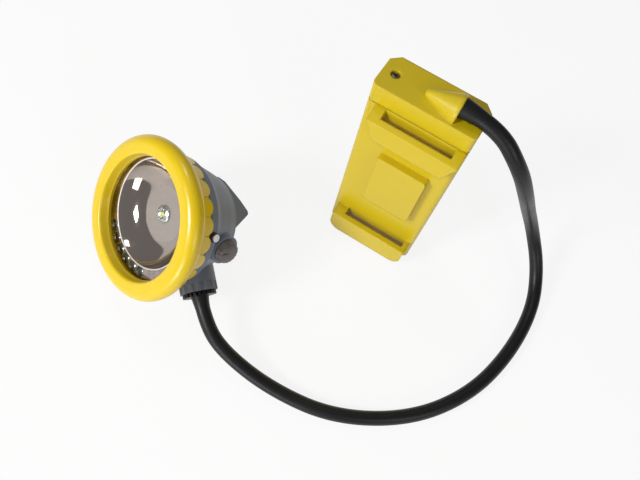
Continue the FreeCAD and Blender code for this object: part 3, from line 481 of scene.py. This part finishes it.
# The knob is a low fluted cap with a rounded top and a raised pointer, moulded with its shaft.
seat_radius = 0.0296
flute_count = 16
flute_share = 0.05
flute_bottom = 0.0008
flute_inside = 0.0045
knob_across = knob_out.cross(lamp_z)
knob_height = (Vector(knob_joint["pos_m"]) - lamp_front).dot(lamp_z)
knob_seat = lamp_front + knob_out * seat_radius + lamp_z * knob_height
knob_cap = lathe("knob_cap", [
    (0.0001, -0.0062), (0.0014, -0.0062), (0.0014, 0.0), (0.0057, 0.0), (0.0058, 0.0003),
    (0.0056, 0.0007), (0.0055, 0.0010), (0.0054, 0.0026), (0.0050, 0.0032), (0.0041, 0.0036),
    (0.0020, 0.0038), (0.0001, 0.0038),
], knob_seat, lamp_z, knob_across, knob_out)
for corner in knob_cap.data.vertices:
    away = corner.co - knob_seat
    height = away.dot(knob_out)
    across = away - knob_out * height
    if height > flute_bottom and across.length > flute_inside:
        bearing = math.atan2(across.dot(knob_across), across.dot(lamp_z))
        corner.co -= across * flute_share * (0.5 + 0.5 * math.cos(flute_count * bearing))
pointer = chip("knob_pointer", knob_seat + knob_out * 0.0037 + lamp_z * 0.0025, (0.0034, 0.0008, 0.0009),
               (lamp_z, knob_across, knob_out))
for piece in (knob_cap, pointer):
    piece.data.materials.append(knob_grey)
    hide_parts("switch_knob")
    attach(piece, "knob")


# ---- Metal pieces
# Plated steel for the charging post and the screws, bare aluminium for the plate that takes the
# main light's heat, brass for the spacers, and nickel strip on the cells.

def metal_finish(name, low, high, rough):
    """Bright metal with fine turning marks."""
    material, start, place, shader = new_finish(name)
    marks = start.node("ShaderNodeTexNoise", None, {"Vector": place, "Scale": 2600.0, "Detail": 2.0})
    bump = start.node("ShaderNodeBump", None, {"Strength": 0.15, "Distance": 0.00005, "Height": marks})
    feed(start, shader, Base_Color=marks.tint(low, high), Metallic=1.0, Roughness=rough + marks * 0.15,
         Normal=bump)
    return material


dress(metal_finish("plated_steel", sight(180, 178, 176), sight(225, 224, 222), 0.16),
      "charging_post", "lid_screws", "hook_screws", "cell_tabs")
dress(metal_finish("bare_aluminium", sight(190, 192, 195), sight(218, 220, 222), 0.3),
      "mounting_plate", "battery_cells")
dress(metal_finish("brass", sight(190, 150, 80), sight(214, 178, 104), 0.25), "board_spacers")


# ---- Lid screws
# Two pan-head steel screws with a cross recess sit deep in their holes in the lid. Their steel
# is painted dark, as painted shade from the deep holes round the heads.

# Painted shade: this steel is made dark to stand for the shade in the deep screw holes.
shade_darkened_screw_steel = metal_finish("steel_darkened_as_painted_shade", sight(86, 74, 66), sight(150, 142, 134), 0.3)
# In mm: where the screws stand on the lid, the rings of a head, its crown and its cross recess.
screw_places = ((6.0, 10.0), (42.0, 8.5))
screw_seat = 107.6
head_rings = (0.05, 0.2, 0.35, 0.6, 0.9, 1.0, 1.3, 1.55, 1.66, 1.66)
head_sides = 48
head_foot = 0.02
crown_height = 1.35
crown_fall = 0.16
recess_half_width = 0.22
recess_reach = 0.95
recess_depth = 0.7
for i, (x, y) in enumerate(screw_places):
    middle = pack_corner + Vector((x, y, screw_seat)) / 1000
    driven = 0.5 * i  # how far round this screw was left turned
    shape = bmesh.new()
    rows = []
    for number, reach in enumerate(head_rings, 1):
        row = []
        for step in range(head_sides):
            turn = 2 * math.pi * step / head_sides + driven
            off_slot = min(abs(math.sin(turn)), abs(math.cos(turn))) * reach
            height = crown_height - crown_fall * reach ** 2
            if off_slot < recess_half_width and reach < recess_reach:
                height -= recess_depth
            if number == len(head_rings):
                height = head_foot
            point = Vector((math.cos(turn) * reach, math.sin(turn) * reach, height))
            row.append(shape.verts.new(middle + point / 1000))
        rows.append(row)
    for inner, outer in zip(rows, rows[1:]):
        for step in range(head_sides):
            after = (step + 1) % head_sides
            shape.faces.new((inner[step], outer[step], outer[after], inner[after]))
    shape.faces.new(rows[0])
    bmesh.ops.recalc_face_normals(shape, faces=shape.faces)
    head = cast(f"lid_screw_head_{i + 1}", shape)
    head.data.materials.append(shade_darkened_screw_steel)
    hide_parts("lid_screws")
    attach(head, "lamp")


# ---- Foam behind the cells
# A pad of black closed-cell foam, cut from sheet and pressed in between the cells
# and the wall of the case, so that the cells don't rattle.

foam, start, place, shader = new_finish("black_foam")
cells = start.node("ShaderNodeTexVoronoi", None, {"Vector": place, "Scale": 1300.0})
bump = start.node("ShaderNodeBump", None, {"Strength": 0.6, "Distance": 0.0002, "Height": cells})
feed(start, shader, Base_Color=cells.tint(sight(26, 26, 27), sight(44, 44, 46)), Roughness=0.9, Normal=bump)
dress(foam, "foam_pad")


# ---- Table, lights and surroundings
# A plain white table that keeps a faint shadow, one soft light from the front left, and
# weaker ones from the right, from low in front and from above.

table_white = (0.86, 0.86, 0.86, 1.0)
table_glow = 0.86
table_top = bpy.data.meshes.new("table")
table_top.from_pydata([(-3, -3, 0), (3, -3, 0), (3, 3, 0), (-3, 3, 0)], [], [(0, 1, 2, 3)])
table = put("table", table_top)
white, start, place, shader = new_finish("white_table")
feed(start, shader, Base_Color=table_white, Roughness=0.9, Specular_IOR_Level=0.1)
glow = start.node("ShaderNodeEmission", None, {"Color": (1, 1, 1, 1), "Strength": 1.0})
looked_at = start.node("ShaderNodeLightPath", take="Is Camera Ray")
mirrored = start.node("ShaderNodeLightPath", take="Is Glossy Ray")
seen_through = start.node("ShaderNodeLightPath", take="Is Transmission Ray")
seen = looked_at + mirrored + seen_through
laid = Shade(start.tree, shader.outputs[0])
mixed = start.node("ShaderNodeMixShader", None, {0: seen * table_glow, 1: laid, 2: glow})
start.tree.links.new(mixed.socket, start.tree.nodes["Material Output"].inputs["Surface"])
table_top.materials.append(white)


def soft_light(name, place_of, size, power):
    """A square soft box aimed at the middle of the object."""
    aim = Vector((0.0, 0.0, 0.04))
    lamp = bpy.data.lights.new(name, "AREA")
    lamp.shape = "SQUARE"
    lamp.size = size
    lamp.energy = power
    made = put(name, lamp)
    made.location = place_of
    made.rotation_euler = (aim - Vector(place_of)).to_track_quat("-Z", "Y").to_euler()


soft_light("key", (-0.42, -0.66, 0.62), 0.22, 6.6)
soft_light("side", (0.75, -0.4, 0.5), 0.3, 1.4)
soft_light("low", (0.0, -0.9, 0.16), 0.3, 2.4)
soft_light("top", (-0.3, 0.3, 0.9), 0.2, 1.1)

room_colour = (0.95, 0.9, 0.88, 1.0)
room_strength = 0.24
world = bpy.data.worlds.new("room")
bpy.context.scene.world = world
world.use_nodes = True
sky = world.node_tree.nodes["Background"]
sky.inputs["Color"].default_value = room_colour
sky.inputs["Strength"].default_value = room_strength

bpy.context.scene.view_settings.view_transform = "Standard"
